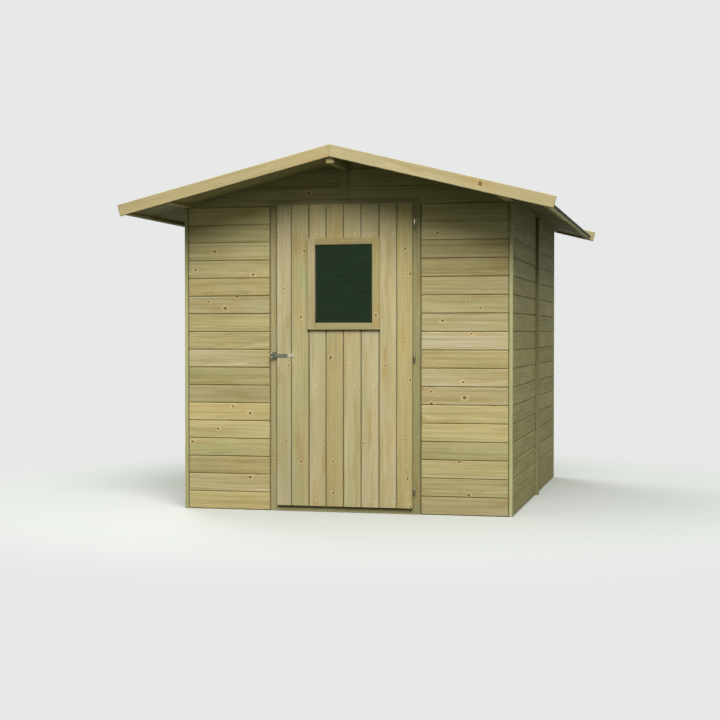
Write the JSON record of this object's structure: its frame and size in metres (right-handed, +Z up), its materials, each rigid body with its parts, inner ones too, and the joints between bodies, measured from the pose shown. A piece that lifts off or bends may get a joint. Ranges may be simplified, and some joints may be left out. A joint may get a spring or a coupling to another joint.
{
  "type": "wooden garden shed",
  "caption": "Small panel-built timber garden shed with a felted pitched roof, deep front overhang, and a boarded front door with a fixed window, barrel hinges and a hasp.",
  "frame": {"origin": "on the ground under the middle of the roof", "axes": "+X to the right seen from the front, +Y from the front to the rear, +Z up"},
  "size_m": [2.5364, 2.979, 2.1109],
  "materials": {
    "wall_boards": "planed",
    "door_boards": "planed",
    "roof_boards": "planed",
    "trim": "planed",
    "framing": "sawn",
    "roofing_felt": "mineral",
    "glass": "clear",
    "zinc_steel": "zinc plated"
  },
  "bodies": {
    "shed": {"bargeboard_front_left": "trim", "bargeboard_front_right": "trim", "bargeboard_rear_left": "trim", "bargeboard_rear_right": "trim", "corner_strips": "trim", "door_head": "trim", "door_jamb_left": "trim", "door_jamb_right": "trim", "door_sill": "trim", "eave_battens": "framing", "front_gable_batten": "trim", "front_gable_left": "wall_boards", "front_gable_right": "wall_boards", "front_wall_left": "wall_boards", "front_wall_right": "wall_boards", "hasp_staple": "zinc_steel", "hinge_pins": "zinc_steel", "left_wall_front": "wall_boards", "left_wall_rear": "wall_boards", "rear_gable_left": "wall_boards", "rear_gable_right": "wall_boards", "rear_wall_batten": "trim", "rear_wall_left": "wall_boards", "rear_wall_right": "wall_boards", "ridge_purlin": "framing", "right_wall_front": "wall_boards", "right_wall_rear": "wall_boards", "roof_panel_left_1": "roof_boards", "roof_panel_left_2": "roof_boards", "roof_panel_left_3": "roof_boards", "roof_panel_right_1": "roof_boards", "roof_panel_right_2": "roof_boards", "roof_panel_right_3": "roof_boards", "roofing_felt_left": "roofing_felt", "roofing_felt_right": "roofing_felt", "side_battens": "trim", "side_purlins": "framing", "wall_studs": "framing"},
    "door": {"door_side_boards": "door_boards", "door_middle_boards": "door_boards", "door_ledges": "framing", "window_stiles": "trim", "window_rails": "trim", "window_pane": "glass", "hinge_knuckles": "zinc_steel", "hasp_plate": "zinc_steel"},
    "hasp": {"hasp_strap": "zinc_steel"}
  },
  "joints": [
    {"name": "door_hinge", "type": "hinge", "parent": "shed", "child": "door", "pos_m": [0.418, -1.1335, 0.9155], "axis": [0, 0, 1], "range_deg": [0, 135]},
    {"name": "hasp_hinge", "type": "hinge", "parent": "door", "child": "hasp", "pos_m": [-0.343, -1.1453, 0.922], "axis": [0, 0, 1], "range_deg": [0, 165]}
  ]
}
